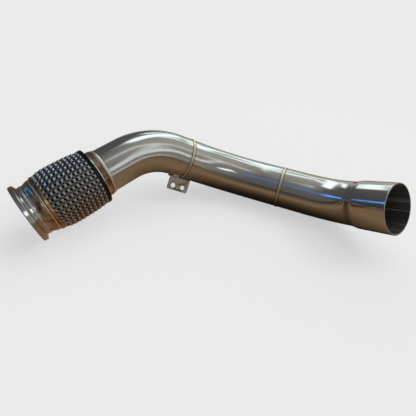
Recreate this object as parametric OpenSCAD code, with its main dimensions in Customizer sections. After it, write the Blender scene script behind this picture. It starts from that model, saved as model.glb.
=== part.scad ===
// Turbo downpipe with a V-band inlet, a braided flexible coupling and a slip-fit outlet.
// The origin is the centre of the inlet flange's face. The gas flows away from that face.
// The pipe lies as it rests on a flat surface, with +Z up and its long side along +X.

/* [Tube] */
// Outside diameter of the bent tube
tube_od = 76.2; // [60:0.1:102]
// Wall of the bent tube
tube_wall = 2; // [1.2:0.1:2.5]

/* [Route] */
// Compass heading of the inlet, from +X towards +Y
inlet_heading = 41; // [0:1:80]
// Climb of the inlet above the level
inlet_pitch = 14.3; // [0:0.1:40]
// Turn of the whole route about the inlet axis
inlet_roll = -0.1; // [-20:0.1:20]
// Straight leg from the collar's end to the elbow's bend
elbow_lead = 48; // [20:1:80]
// Centreline radius of the elbow's bend
elbow_radius = 114.3; // [100:0.1:200]
// Bend of the elbow
elbow_angle = 48; // [20:1:70]
// Side that the elbow bends to, turned from straight down
elbow_roll = -40; // [-90:1:90]
// Straight leg after the elbow's bend, which carries the bracket
elbow_tail = 23; // [20:1:60]
// Straight leg before the bend of the middle tube
mid_lead = 15; // [15:1:60]
// Centreline radius of the middle tube's bend
mid_radius = 203; // [120:1:300]
// Bend of the middle tube
mid_angle = 41.5; // [10:0.5:60]
// Side that the middle tube bends to
mid_roll = -118; // [-180:1:0]
// Straight leg after the bend of the middle tube
mid_tail = 35; // [10:1:80]
// Straight leg before the outlet's bend
outlet_lead = 54; // [20:1:100]
// Centreline radius of the outlet's bend
outlet_radius = 114.3; // [100:0.1:200]
// Bend of the outlet tube
outlet_angle = 40.5; // [10:0.5:60]
// Side that the outlet tube bends to
outlet_roll = -123; // [-180:1:0]
// Straight leg between the outlet's bend and its expanded end
outlet_tail = 5; // [2:1:40]

/* [Outlet socket] */
// Slip clearance on the radius, round a tube of the same size
socket_clear = 0.35; // [0.1:0.05:1]
// Length of the cone that widens the tube to the socket
socket_taper = 7; // [4:1:20]
// Depth of the socket's straight part
socket_depth = 56; // [30:1:90]

/* [Inlet flange] */
// Outside diameter of the V-band rim
rim_od = 94; // [92:0.5:110]
// Thickness of the rim
rim_width = 6.5; // [4:0.5:9]
// Slope of the rim's back, which the clamp pulls on
rim_slope = 20; // [15:1:25]
// Bore of the flange
inlet_bore = 74; // [66:0.5:74]
// Outside diameter of the hub behind the rim
hub_od = 81; // [80:0.5:84]
// Length of the flange from its face to the hub's end
flange_length = 13; // [12:0.5:18]
// Outside diameter of the locating step in the face
step_od = 82; // [78:0.5:86]
// Depth of the locating step
step_depth = 1.6; // [0.8:0.1:2.5]

/* [Inlet neck] */
// Outside diameter of the neck's wide end
neck_od = 87; // [85:0.5:89]
// Wall of the neck
neck_wall = 2; // [1.5:0.1:2.5]
// Length of the neck
neck_length = 16; // [12:0.5:30]

/* [Flexible coupling] */
// Length of the braid that shows between its two caps
flex_length = 74; // [50:1:150]
// Outside diameter of the cap at the inlet end
inlet_cap_od = 92; // [91:0.5:94]
// Outside diameter of the cap at the outlet end
outlet_cap_od = 97; // [94:0.5:100]
// Width of the inlet cap's rim
inlet_cap_width = 4.5; // [4:0.5:10]
// Width of the outlet cap's rim
outlet_cap_width = 6; // [5:0.5:12]
// Sheet thickness of the caps
cap_wall = 1; // [0.8:0.1:1.5]
// Largest outside diameter of the braid
braid_od = 100.6; // [100:0.2:104]
// Thickness of the woven sleeve
braid_wall = 1.6; // [1.2:0.1:2.6]
// Thickness of the sleeve where a cap grips it
braid_grip = 1.6; // [1.2:0.1:2]
// Height of the ripples that the bellows' crests raise in the braid
braid_ripple = 0.5; // [0.1:0.05:0.6]
// Gap between the bellows' crests and the braid that lies over them
crest_gap = 0.2; // [0.1:0.05:4]
// Outside diameter of the bellows' roots
root_od = 78; // [77:0.5:80]
// Sheet thickness of the bellows
bellows_wall = 0.6; // [0.4:0.1:0.8]
// Number of crests on the bellows
crest_count = 9; // [5:1:14]
// Inside diameter of the interlocked liner
liner_id = 70.5; // [66:0.5:72]
// Height of the liner's interlocked hooks
liner_hook = 1.3; // [1:0.1:1.6]
// Strip thickness of the liner
liner_wall = 0.5; // [0.4:0.1:0.6]
// Pitch of the liner's hooks
liner_pitch = 3.6; // [3:0.1:6]
// Gap between the layers where the caps hold them
layer_gap = 0.15; // [0.1:0.01:0.25]

/* [Outlet collar] */
// Wall of the collar
collar_wall = 2.3; // [1.5:0.1:3]
// Length of the collar
collar_length = 10; // [8:1:30]
// Length of tube inside the collar
collar_grip = 9; // [6:1:14]
// Clearance between the collar and the tube
collar_clear = 0.15; // [0.05:0.05:0.4]

/* [Welds] */
// Width of a weld bead round the tube
bead_width = 5; // [3:0.5:8]
// Height of a weld bead above the tube
bead_height = 0.9; // [0.5:0.1:1.5]
// Width of the bead between the collar and the tube
collar_bead_width = 6; // [4:0.5:8]
// Leg of the fillet weld between the outlet cap and the collar
cap_fillet = 2.5; // [1:0.5:4]
// Width of the thin bead at each end of the neck
neck_bead_width = 3; // [2:0.5:3.5]

/* [Bracket] */
// Thickness of the bracket's plate
plate_t = 3; // [2:0.5:4]
// Width of the bracket along the tube
plate_width = 40; // [34:1:60]
// Reach of the bracket from the tube's wall
plate_reach = 26.5; // [24:0.5:45]
// Depth of the foot that is welded under the tube
foot_depth = 18; // [14:1:24]
// Distance from the weld on the middle tube back to the bracket's middle
plate_shift = 1.5; // [0:0.5:12]
// Direction of the bracket round the tube
plate_roll = -26; // [-120:1:60]
// Diameter of the two screw holes
hole_d = 9; // [6:0.5:11]
// Distance between the two screw holes
hole_spacing = 19; // [14:0.5:30]
// Distance of the screw holes from the plate's free edge
hole_edge = 8.5; // [7:0.5:14]
// Radius of the plate's free corners
plate_corner = 4; // [1:0.5:6]
// Gap between the saddle of the foot and the tube
saddle_gap = 0.2; // [0.15:0.05:0.4]

/* [Hidden] */
$fn = 96;

tube_r = tube_od / 2;
socket_r = tube_r + socket_clear + tube_wall;
// Stations along the inlet axis, counted from the flange's face
neck_start = flange_length;
inlet_cap_start = neck_start + neck_length;
flex_start = inlet_cap_start + inlet_cap_width;
flex_end = flex_start + flex_length;
outlet_cap_end = flex_end + outlet_cap_width;
collar_end = outlet_cap_end + collar_length;
flex_middle = (flex_start + flex_end) / 2;
web_t = 1.5 * cap_wall;
edge_r = 1.2;
rim_r = rim_od / 2;
hub_r = hub_od / 2;
neck_r = neck_od / 2;
neck_small_r = hub_r;
slope_length = (rim_r - hub_r) * tan(rim_slope);
collar_in_r = tube_r + collar_clear;
collar_r = collar_in_r + collar_wall;
root_r = root_od / 2;
liner_r = liner_id / 2 + liner_hook;
braid_r = braid_od / 2;
arc_steps = 6;
ripple_steps = 6;
bellows_margin = 5.4;
// How much the bend's wall is thinner on each face, and how far its legs run into it
bend_thinning = 0.02;
leg_overlap = 0.3;

steel = [0.78, 0.77, 0.75];
warm_steel = [0.74, 0.66, 0.54];
dull_steel = [0.50, 0.49, 0.45];
dark_wire = [0.52, 0.52, 0.52];
bead_tint = [0.80, 0.70, 0.52];

// Turns the inlet's own axis, along local +Z, to where it lies at rest
module lying() {
    rotate([0, 90 - inlet_pitch, inlet_heading])
        rotate([0, 0, inlet_roll])
            children();
}

// Carries its children to the end of a bend that turns to the side given by roll
module past_bend(radius, angle, roll) {
    rotate([0, 0, roll])
        translate([radius, 0, 0])
            rotate([0, angle, 0])
                translate([-radius, 0, 0])
                    rotate([0, 0, -roll])
                        children();
}

module at_collar_end() {
    lying() translate([0, 0, collar_end]) children();
}

module at_elbow_end() {
    at_collar_end()
        translate([0, 0, elbow_lead])
            past_bend(elbow_radius, elbow_angle, elbow_roll)
                translate([0, 0, elbow_tail])
                    children();
}

module at_mid_end() {
    at_elbow_end()
        translate([0, 0, mid_lead])
            past_bend(mid_radius, mid_angle, mid_roll)
                translate([0, 0, mid_tail])
                    children();
}

// A straight tube on local +Z
module straight(length, outer = tube_r, wall = tube_wall) {
    rotate_extrude()
        translate([outer - wall, 0])
            square([wall, length]);
}

// A bend of tube that starts at the origin along local +Z and turns to the side given by roll.
// Drawing the tube round a mandrel thins its wall by a hair on each face.
module bend(radius, angle, roll) {
    rotate([0, 0, roll])
        translate([radius, 0, 0])
            rotate([90, 0, 180])
                rotate_extrude(angle = angle)
                    translate([radius, 0])
                        difference() {
                            circle(tube_r - bend_thinning);
                            circle(tube_r - tube_wall + bend_thinning);
                        }
}

// A tube with a straight leg, a bend and whatever profile its children draw after the bend.
// Both legs run a little way into the bend.
module bent_tube(lead, radius, angle, roll) {
    straight(lead + leg_overlap);
    translate([0, 0, lead])
        bend(radius, angle, roll);
    translate([0, 0, lead])
        past_bend(radius, angle, roll)
            children();
}

// The rounded crown of a weld bead on a cylinder, centred on local z = 0
module bead(on_r, width = bead_width, height = bead_height) {
    crown_r = (width * width / 4 + height * height) / (2 * height);
    rotate_extrude()
        intersection() {
            translate([on_r + height - crown_r, 0])
                circle(crown_r);
            translate([on_r, -width])
                square([2 * height, 2 * width]);
        }
}

// Points of a rounded step from one radius to another, as half a cosine wave
function eased(r0, r1, z0, z1, steps) = [
    for (i = [0:steps])
        [r0 + (r1 - r0) * (1 - cos(180 * i / steps)) / 2, z0 + (z1 - z0) * i / steps]
];

// A list of points from its end to its start
function backwards(points) = [for (i = [len(points) - 1:-1:0]) points[i]];

// Points of an arc about a centre in the profile's plane
function arc(centre, radius, from, to, steps) = [
    for (i = [0:steps])
        centre + radius * [cos(from + (to - from) * i / steps), sin(from + (to - from) * i / steps)]
];

// The V-band flange: a flat face with a locating step, a rim with a sloped back, and a hub
module inlet_flange() {
    bore_r = inlet_bore / 2;
    chamfer = neck_small_r - neck_wall - bore_r;
    slope_end = rim_width + slope_length;
    profile = concat(
        [[step_od / 2, 0]],
        arc([rim_r - edge_r, edge_r], edge_r, -90, 0, 5),
        arc([rim_r - edge_r, rim_width - edge_r], edge_r, 0, 90 - rim_slope, 5),
        [[hub_r, slope_end], [hub_r, flange_length]],
        [[bore_r + chamfer, flange_length], [bore_r, flange_length - chamfer]],
        [[bore_r, step_depth], [step_od / 2, step_depth]]
    );
    color(steel)
        lying()
            rotate_extrude()
                polygon(profile);
}

// The thin bead that joins the flange's hub to the neck
module flange_weld() {
    color(bead_tint)
        lying()
            translate([0, 0, neck_start])
                bead(hub_r, neck_bead_width, bead_height * 0.8);
}

// The flared neck that widens from the hub to the flexible coupling
module inlet_neck() {
    flat = 2;
    outer = eased(neck_small_r, neck_r, neck_start + flat, inlet_cap_start - 2 * flat, 8);
    inner = [for (p = outer) [p[0] - neck_wall, p[1]]];
    color(warm_steel)
        lying()
            rotate_extrude()
                polygon(concat(
                    [[neck_small_r, neck_start]],
                    outer,
                    [[neck_r, inlet_cap_start], [neck_r - neck_wall, inlet_cap_start]],
                    backwards(inner),
                    [[neck_small_r - neck_wall, neck_start]]
                ));
}

// The thin bead between the neck and the inlet cap
module neck_weld() {
    color(bead_tint)
        lying()
            translate([0, 0, inlet_cap_start - neck_bead_width / 2])
                bead(neck_r, neck_bead_width, bead_height * 0.8);
}

// A cap of sheet metal: a flat web at local z = 0 and a rim towards +Z that grips the braid
module cap(outer, width, web_in) {
    rotate_extrude()
        polygon(concat(
            [[web_in, 0]],
            arc([outer - cap_wall, cap_wall], cap_wall, -90, 0, 5),
            arc([outer - cap_wall / 2, width - cap_wall / 2], cap_wall / 2, 0, 180, 6),
            [[outer - cap_wall, web_t], [web_in, web_t]]
        ));
}

module inlet_cap() {
    color(steel)
        lying()
            translate([0, 0, inlet_cap_start])
                cap(inlet_cap_od / 2, inlet_cap_width, neck_r - neck_wall);
}

module outlet_cap() {
    color(dull_steel)
        lying()
            translate([0, 0, outlet_cap_end])
                mirror([0, 0, 1])
                    cap(outlet_cap_od / 2, outlet_cap_width, collar_in_r);
}

// Outer radius of the braid at a station: a barrel between the two caps, with one ripple a crest
function braid_at(z) =
    let (
        u = (z - flex_start) / flex_length,
        end_r = (1 - u) * (inlet_cap_od / 2 - cap_wall - layer_gap)
            + u * (outlet_cap_od / 2 - cap_wall - layer_gap),
        barrel = pow(1 - pow(abs(2 * u - 1), 3), 0.8),
        ripple = braid_ripple * cos(360 * (z - flex_middle) / crest_pitch())
    )
    end_r + (braid_r - braid_ripple - end_r) * barrel + ripple * min(1, 3 * barrel);

// Distance between neighbouring crests of the bellows
function crest_pitch() = (flex_length - 2 * bellows_margin) / crest_count;

// The woven sleeve as one closed skin of its true outline, gripped under both caps
module braid() {
    steps = ripple_steps * crest_count;
    grip_start = inlet_cap_start + web_t + layer_gap;
    grip_end = outlet_cap_end - web_t - layer_gap;
    in_r = inlet_cap_od / 2 - cap_wall - layer_gap;
    out_r = outlet_cap_od / 2 - cap_wall - layer_gap;
    stations = [for (i = [0:steps]) flex_start + flex_length * i / steps];
    outer = [for (z = stations) [braid_at(z), z]];
    inner = [
        for (z = stations)
            let (blend = min(1, (z - flex_start) / 5, (flex_end - z) / 5))
            [braid_at(z) - braid_grip - (braid_wall - braid_grip) * blend, z]
    ];
    color(dark_wire)
        lying()
            rotate_extrude()
                polygon(concat(
                    [[in_r, grip_start]],
                    outer,
                    [[out_r, grip_end], [out_r - braid_grip, grip_end]],
                    backwards(inner),
                    [[in_r - braid_grip, grip_start]]
                ));
}

// Outer radius of the crest at a station: its round top lies under the braid's inner face over the
// crest's whole width, so it is lowered where the braid slopes
function crest_at(z) =
    let (turn = crest_pitch() / 4 + bellows_wall / 2)
    min([
        for (i = [-4:4])
            let (across = turn * i / 5, fall = turn - sqrt(turn * turn - across * across))
            braid_at(z + across) - braid_wall - crest_gap + fall
    ]);

// One side of the bellows' wall: U-shaped crests and roots made of half circles.
// side is +1 for the outer face and -1 for the inner face.
function bellows_side(side) =
    let (
        pitch = crest_pitch(),
        turn = pitch / 4,
        shift = side * bellows_wall / 2,
        start = flex_start + bellows_margin,
        root_c = root_r - bellows_wall / 2 + turn
    )
    [
        for (k = [0:crest_count - 1])
            let (
                z = start + pitch * (k + 0.5),
                crest_c = crest_at(z) - bellows_wall / 2 - turn
            )
            for (p = concat(
                arc([crest_c, z], turn + shift, -90, 90, arc_steps),
                k == crest_count - 1 ? [] : arc([root_c, z + pitch / 2], turn - shift, 270, 90, arc_steps)
            ))
                p
    ];

// The gas-tight bellows inside the braid, with a cuff at each end
module bellows() {
    half = bellows_wall / 2;
    turn = crest_pitch() / 4;
    in_cuff = inlet_cap_od / 2 - cap_wall - braid_grip - 2 * layer_gap;
    out_cuff = outlet_cap_od / 2 - cap_wall - braid_grip - 2 * layer_gap;
    in_end = inlet_cap_start + web_t + layer_gap;
    out_end = outlet_cap_end - web_t - layer_gap;
    first = flex_start + bellows_margin + turn;
    last = flex_end - bellows_margin - turn;
    root_mid = root_r - half;
    outer = concat(
        [[in_cuff, in_end], [in_cuff, flex_start]],
        [[root_mid + half, flex_start + half], [root_mid + half, first - half]],
        bellows_side(1),
        [[root_mid + half, last + half], [root_mid + half, flex_end - half]],
        [[out_cuff, flex_end], [out_cuff, out_end]]
    );
    inner = concat(
        [[in_cuff - bellows_wall, in_end], [in_cuff - bellows_wall, flex_start - bellows_wall]],
        [[root_mid - half, flex_start - half], [root_mid - half, first + half]],
        bellows_side(-1),
        [[root_mid - half, last - half], [root_mid - half, flex_end + half]],
        [[out_cuff - bellows_wall, flex_end + bellows_wall], [out_cuff - bellows_wall, out_end]]
    );
    color(steel)
        lying()
            rotate_extrude()
                polygon(concat(outer, backwards(inner)));
}

// The interlocked liner: a strip wound in hooks, drawn as rings, with a flared flange at each cap
module liner() {
    low = liner_id / 2;
    high = liner_r;
    start = inlet_cap_start + web_t + layer_gap;
    end = outlet_cap_end - web_t - layer_gap;
    flange_in = inlet_cap_od / 2 - cap_wall - braid_grip - 3 * layer_gap - bellows_wall;
    flange_out = outlet_cap_od / 2 - cap_wall - braid_grip - 3 * layer_gap - bellows_wall;
    hooks = floor((end - start - 4) / liner_pitch);
    first = start + 2;
    outer = [
        for (k = [0:hooks - 1])
            for (p = [[low + liner_wall, 0], [high, 0], [high, 0.5], [low + liner_wall, 0.5]])
                [p[0], first + liner_pitch * (k + p[1])]
    ];
    inner = [
        for (k = [0:hooks - 1])
            for (p = [[low, 1], [high - liner_wall, 1], [high - liner_wall, -1], [low, -1]])
                [p[0], first + liner_pitch * (k + (p[1] > 0 ? 0 : 0.5)) + p[1] * liner_wall]
    ];
    color(steel)
        lying()
            rotate_extrude()
                polygon(concat(
                    [[flange_in, start], [flange_in, start + liner_wall]],
                    [[low + liner_wall, start + liner_wall]],
                    outer,
                    [[low + liner_wall, end - liner_wall], [flange_out, end - liner_wall]],
                    [[flange_out, end], [low, end]],
                    backwards(inner),
                    [[low, start]]
                ));
}

// The hollow fillet between the outlet cap's flat back and the collar
module cap_weld() {
    crown = [collar_r + cap_fillet, cap_fillet];
    color(bead_tint)
        lying()
            translate([0, 0, outlet_cap_end])
                rotate_extrude()
                    polygon(concat([[collar_r, 0]], arc(crown, cap_fillet, 270, 180, 8)));
}

// The sleeve between the flexible coupling and the tube, which the tube slips into
module outlet_collar() {
    color(warm_steel)
        lying()
            translate([0, 0, outlet_cap_end])
                straight(collar_length, collar_r, collar_wall);
}

// The bead where the tube leaves the collar
module collar_weld() {
    color(bead_tint)
        at_collar_end()
            translate([0, 0, collar_bead_width / 2])
                bead(tube_r, collar_bead_width, collar_clear + collar_wall * 0.55);
}

// The first mandrel bend, with a straight leg inside the collar and one before the next weld
module elbow() {
    color(steel)
        at_collar_end()
            translate([0, 0, -collar_grip])
                bent_tube(collar_grip + elbow_lead, elbow_radius, elbow_angle, elbow_roll)
                    translate([0, 0, -leg_overlap])
                        straight(elbow_tail + leg_overlap);
}

module elbow_weld() {
    color(bead_tint)
        at_elbow_end()
            bead(tube_r);
}

// The long shallow bend between the two welds
module mid_tube() {
    color(steel)
        at_elbow_end()
            bent_tube(mid_lead, mid_radius, mid_angle, mid_roll)
                translate([0, 0, -leg_overlap])
                    straight(mid_tail + leg_overlap);
}

module outlet_weld() {
    color(bead_tint)
        at_mid_end()
            bead(tube_r);
}

// The last bend, whose end is expanded to slip over a tube of the same size
module outlet_tube() {
    taper = eased(tube_r, socket_r, outlet_tail, outlet_tail + socket_taper, 6);
    mouth = outlet_tail + socket_taper + socket_depth;
    outer = concat([[tube_r, -leg_overlap]], taper, [[socket_r, mouth]]);
    inner = [for (p = outer) [p[0] - tube_wall, p[1]]];
    color(steel)
        at_mid_end()
            bent_tube(outlet_lead, outlet_radius, outlet_angle, outlet_roll)
                rotate_extrude()
                    polygon(concat(outer, backwards(inner)));
}

// Section of the bracket across the tube: local +X points out of the tube, the foot lies under
// it and the leg with the holes stands at the front edge
module bracket_section(reach = plate_reach) {
    half = foot_depth / 2;
    top = tube_r + plate_t;
    inside_r = 2;
    outside_r = inside_r + plate_t;
    corner_x = sqrt(pow(tube_r, 2) - pow(half, 2)) + outside_r;
    difference() {
        union() {
            translate([tube_r / 2, -half])
                square([top - tube_r / 2, foot_depth]);
            translate([tube_r / 2, -half])
                square([tube_r / 2 + reach, plate_t]);
            difference() {
                translate([top - 1, -half + plate_t - 1])
                    square([inside_r + 1, inside_r + 1]);
                translate([top + inside_r, -half + plate_t + inside_r])
                    circle(inside_r);
            }
        }
        circle(tube_r + saddle_gap);
        difference() {
            translate([0, -half - 1])
                square([corner_x, outside_r + 1]);
            translate([corner_x, -half + outside_r])
                circle(outside_r);
            translate([0, -half + outside_r])
                square([corner_x, 1]);
        }
    }
}

// Places its children at the bracket: local z = 0 is the weld on the middle tube
module at_bracket() {
    at_elbow_end() rotate([0, 0, plate_roll]) children();
}

// The support bracket: a bent plate with a saddle foot, two screw holes and a notch for the bead
module bracket() {
    left = -plate_shift - plate_width / 2;
    right = left + plate_width;
    edge = tube_r + plate_reach;
    notch = bead_width + 3;
    half = foot_depth / 2;
    color(dull_steel)
        at_bracket()
            difference() {
                translate([0, 0, left])
                    linear_extrude(plate_width)
                        bracket_section();
                translate([0, 0, -notch / 2])
                    cylinder(r = tube_r + bead_height + saddle_gap, h = notch);
                for (z = [-1, 1] * hole_spacing / 2)
                    translate([edge - hole_edge, 0, z - plate_shift])
                        rotate([90, 0, 0])
                            cylinder(d = hole_d, h = 2 * half + 2 * plate_t, $fn = 64);
                corner_cut(edge, left, 1);
                corner_cut(edge, right, -1);
            }
}

// What is removed to round one free corner of the plate
module corner_cut(edge, at_z, way) {
    thick = foot_depth;
    translate([edge, 0, at_z])
        rotate([90, 0, 0])
            translate([0, 0, -1])
                linear_extrude(thick)
                    difference() {
                        translate([-plate_corner, way > 0 ? -1 : -plate_corner])
                            square([plate_corner + 1, plate_corner + 1]);
                        translate([-plate_corner, way * plate_corner])
                            circle(plate_corner);
                    }
}

// A fillet weld along one long edge of the foot, short of the bead round the tube
module bracket_weld(side) {
    half = foot_depth / 2;
    leg = 3.6;
    start = -plate_shift - plate_width / 2 + 3;
    length = -bead_width / 2 - 2 - start;
    outer_y = half + leg;
    contact_x = sqrt(pow(tube_r, 2) - pow(outer_y, 2));
    color(dull_steel)
        at_bracket()
            translate([0, 0, start])
                linear_extrude(length)
                    difference() {
                        scale([1, side])
                            polygon([
                                [tube_r + 0.8 * plate_t, half - 0.4 * plate_t],
                                [tube_r + 0.8 * plate_t, half],
                                [contact_x, outer_y],
                                [contact_x - leg, half - 0.4 * plate_t]
                            ]);
                        circle(tube_r);
                        bracket_section();
                        square([tube_r - 2 * leg, 2 * tube_r], center = true);
                    }
}

module bracket_weld_front() { bracket_weld(-1); }
module bracket_weld_back() { bracket_weld(1); }

inlet_flange();
flange_weld();
inlet_neck();
neck_weld();
inlet_cap();
braid();
bellows();
liner();
outlet_cap();
cap_weld();
outlet_collar();
collar_weld();
elbow();
elbow_weld();
mid_tube();
outlet_weld();
outlet_tube();
bracket();
bracket_weld_front();
bracket_weld_back();
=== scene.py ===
import math

import bpy
import numpy as np
from mathutils import Matrix, Vector


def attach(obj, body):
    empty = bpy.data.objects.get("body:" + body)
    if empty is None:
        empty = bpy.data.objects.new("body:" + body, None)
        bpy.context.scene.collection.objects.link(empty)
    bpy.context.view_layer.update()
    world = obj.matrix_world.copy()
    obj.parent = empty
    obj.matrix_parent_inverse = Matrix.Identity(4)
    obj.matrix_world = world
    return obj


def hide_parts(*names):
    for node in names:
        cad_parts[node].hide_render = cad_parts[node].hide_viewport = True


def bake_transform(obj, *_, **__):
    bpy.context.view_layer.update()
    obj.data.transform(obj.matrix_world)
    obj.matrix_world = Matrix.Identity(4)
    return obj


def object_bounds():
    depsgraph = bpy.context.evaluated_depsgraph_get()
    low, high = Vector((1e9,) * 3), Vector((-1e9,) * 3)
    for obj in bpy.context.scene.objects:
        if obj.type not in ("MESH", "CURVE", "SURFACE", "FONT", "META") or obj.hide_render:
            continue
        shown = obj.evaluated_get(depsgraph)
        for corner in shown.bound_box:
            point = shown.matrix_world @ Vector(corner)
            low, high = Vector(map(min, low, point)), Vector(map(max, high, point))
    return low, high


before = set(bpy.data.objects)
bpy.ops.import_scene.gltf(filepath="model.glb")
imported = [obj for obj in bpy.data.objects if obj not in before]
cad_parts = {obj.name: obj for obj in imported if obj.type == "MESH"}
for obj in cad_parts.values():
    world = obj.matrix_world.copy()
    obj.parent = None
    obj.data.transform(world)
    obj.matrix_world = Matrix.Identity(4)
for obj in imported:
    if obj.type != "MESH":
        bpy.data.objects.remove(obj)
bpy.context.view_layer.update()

MM = 0.001

# Sizes of the pipe, as the CAD source gives them
TUBE_R = 38.1 * MM
TUBE_WALL = 2 * MM
SOCKET_R = 40.45 * MM
SOCKET_TAPER = 7 * MM
SOCKET_DEPTH = 56 * MM
RIM_R = 47 * MM
RIM_WIDTH = 6.5 * MM
RIM_SLOPE = math.radians(20)
HUB_R = 40.5 * MM
FLANGE_LENGTH = 13 * MM
INLET_BORE_R = 37 * MM
STEP_R = 41 * MM
STEP_DEPTH = 1.6 * MM
NECK_R = 43.5 * MM
NECK_LENGTH = 16 * MM
INLET_CAP_R = 46 * MM
INLET_CAP_WIDTH = 4.5 * MM
OUTLET_CAP_R = 48.5 * MM
OUTLET_CAP_WIDTH = 6 * MM
CAP_WALL = 1 * MM
CAP_WEB = 1.5 * CAP_WALL
FLEX_LENGTH = 74 * MM
BRAID_R = 50.3 * MM
BRAID_WALL = 1.6 * MM
BRAID_GRIP = 1.6 * MM
BRAID_RIPPLE = 0.5 * MM
LAYER_GAP = 0.15 * MM
CREST_COUNT = 9
CREST_GAP = 0.2 * MM
ROOT_R = 39 * MM
BELLOWS_MARGIN = 5.4 * MM
BELLOWS_WALL = 0.6 * MM
LINER_R = 35.25 * MM
LINER_HOOK = 1.3 * MM
LINER_WALL = 0.5 * MM
LINER_PITCH = 3.6 * MM
COLLAR_CLEAR = 0.15 * MM
COLLAR_WALL = 2.3 * MM
COLLAR_LENGTH = 10 * MM
COLLAR_GRIP = 9 * MM
BEAD_WIDTH = 5 * MM
BEAD_HEIGHT = 0.9 * MM
NECK_BEAD_WIDTH = 3 * MM
COLLAR_BEAD_WIDTH = 6 * MM
CAP_FILLET = 2.5 * MM
PLATE_T = 3 * MM
PLATE_WIDTH = 40 * MM
FOOT_DEPTH = 18 * MM
PLATE_SHIFT = 1.5 * MM
PLATE_ROLL = -26

# Stations along the inlet's axis, from the flange's face
NECK_START = FLANGE_LENGTH
INLET_CAP_START = NECK_START + NECK_LENGTH
FLEX_START = INLET_CAP_START + INLET_CAP_WIDTH
FLEX_END = FLEX_START + FLEX_LENGTH
FLEX_MIDDLE = (FLEX_START + FLEX_END) / 2
OUTLET_CAP_END = FLEX_END + OUTLET_CAP_WIDTH
COLLAR_END = OUTLET_CAP_END + COLLAR_LENGTH
CREST_PITCH = (FLEX_LENGTH - 2 * BELLOWS_MARGIN) / CREST_COUNT

UV_NAME = "laid"
AROUND = 144


# ---- places along the route ----

def turn(axis, degrees):
    """4x4 turns about one axis, one for each angle: its cosine and sine in the other two axes' plane."""
    a = np.radians(np.atleast_1d(degrees).astype(float))
    m = np.tile(np.eye(4), (a.size, 1, 1))
    i, j = {"x": (1, 2), "y": (2, 0), "z": (0, 1)}[axis]
    m[:, i, i] = m[:, j, j] = np.cos(a)
    m[:, i, j], m[:, j, i] = -np.sin(a), np.sin(a)
    return m


def shift(x=0.0, y=0.0, z=0.0):
    """4x4 moves, one for each entry of the longest argument."""
    x, y, z = np.broadcast_arrays(*(np.atleast_1d(v).astype(float) for v in (x, y, z)))
    m = np.tile(np.eye(4), (x.size, 1, 1))
    m[:, :3, 3] = np.stack([x, y, z], 1)
    return m


class Run:
    """A tube's centre line: a straight lead, one bend to the side that roll gives, and a straight tail."""

    def __init__(self, start, lead, radius, angle, roll, tail):
        self.start, self.lead, self.radius, self.roll = start, lead, radius, roll
        self.arc = radius * math.radians(angle)
        self.length = lead + self.arc + tail

    def frames(self, stations):
        """Frames along the centre line: straight ahead up to the bend, then turned about an axis one
        bend radius to the side by the arc covered over the radius, then straight ahead again."""
        before = np.minimum(stations, self.lead)
        turned = np.degrees(np.clip(stations - self.lead, 0, self.arc) / self.radius)
        after = np.maximum(stations - self.lead - self.arc, 0)
        aside = turn("z", self.roll) @ shift(x=self.radius)
        back = shift(x=-self.radius) @ turn("z", -self.roll)
        return self.start @ shift(z=before) @ aside @ turn("y", turned) @ back @ shift(z=after)


INLET = turn("z", 41) @ turn("y", 90 - 14.3) @ turn("z", -0.1)
elbow_run = Run(INLET @ shift(z=COLLAR_END), 48 * MM, 114.3 * MM, 48, -40, 23 * MM)
ELBOW_END = elbow_run.frames(np.array([elbow_run.length]))
mid_run = Run(ELBOW_END, 15 * MM, 203 * MM, 41.5, -118, 35 * MM)
MID_END = mid_run.frames(np.array([mid_run.length]))
outlet_run = Run(MID_END, 54 * MM, 114.3 * MM, 40.5, -123, 5 * MM)


def on_axis(stations):
    """Frames on the inlet's axis, which is straight from the flange to the collar's end."""
    return INLET @ shift(z=stations)


def axis_point(station):
    return Vector(on_axis(station)[0, :3, 3])


# ---- surfaces as arrays ----

def placed(frames, local):
    """Local points (row, column, xyz) carried into the row frame by one 4x4 frame a row."""
    return np.einsum("nij,nmj->nmi", frames[:, :3, :3], local) + frames[:, None, :3, 3]


def turned_ring(frames, radii, around=AROUND):
    """Each row is a circle in its frame's cross-section: radius times (cos a, sin a, 0)."""
    a = np.linspace(0, 2 * np.pi, around, endpoint=False)
    ring = np.stack([np.cos(a), np.sin(a), 0 * a], 1)
    return placed(frames, np.asarray(radii)[:, None, None] * ring)


def softened(profile, bevel):
    """A closed outline with each corner cut by a small bevel that has a support point on both sides:
    the points lie at twice the bevel and at the bevel before the corner, a third of the way in from
    it, and mirrored after it."""
    p = np.asarray(profile, float)
    ahead, behind = np.roll(p, -1, 0) - p, np.roll(p, 1, 0) - p
    reach_a = np.linalg.norm(ahead, axis=1, keepdims=True)
    reach_b = np.linalg.norm(behind, axis=1, keepdims=True)
    cut = np.minimum(bevel, np.minimum(reach_a, reach_b) / 5)
    a, b = ahead / reach_a * cut, behind / reach_b * cut
    return np.stack([p + 2 * b, p + b, p + (a + b) / 4, p + a, p + 2 * a], 1).reshape(-1, 2)


def eased(start, end, count):
    """Shares from start to end that begin and end level: half a cosine wave."""
    return start + (end - start) * (1 - np.cos(np.linspace(0, np.pi, count))) / 2


def arc(centre, radius, start, end, count):
    """Points on a circle in a profile's plane, from one angle in degrees to another."""
    a = np.radians(np.linspace(start, end, count))
    return np.stack([centre[0] + radius * np.cos(a), centre[1] + radius * np.sin(a)], 1)


def lengths_along(points):
    """Distance from the first row to each row, and from the last row back to the first, on column 0."""
    closed = np.concatenate([points[:, 0], points[:1, 0]])
    return np.concatenate([[0], np.cumsum(np.linalg.norm(np.diff(closed, axis=0), axis=1))])


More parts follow.
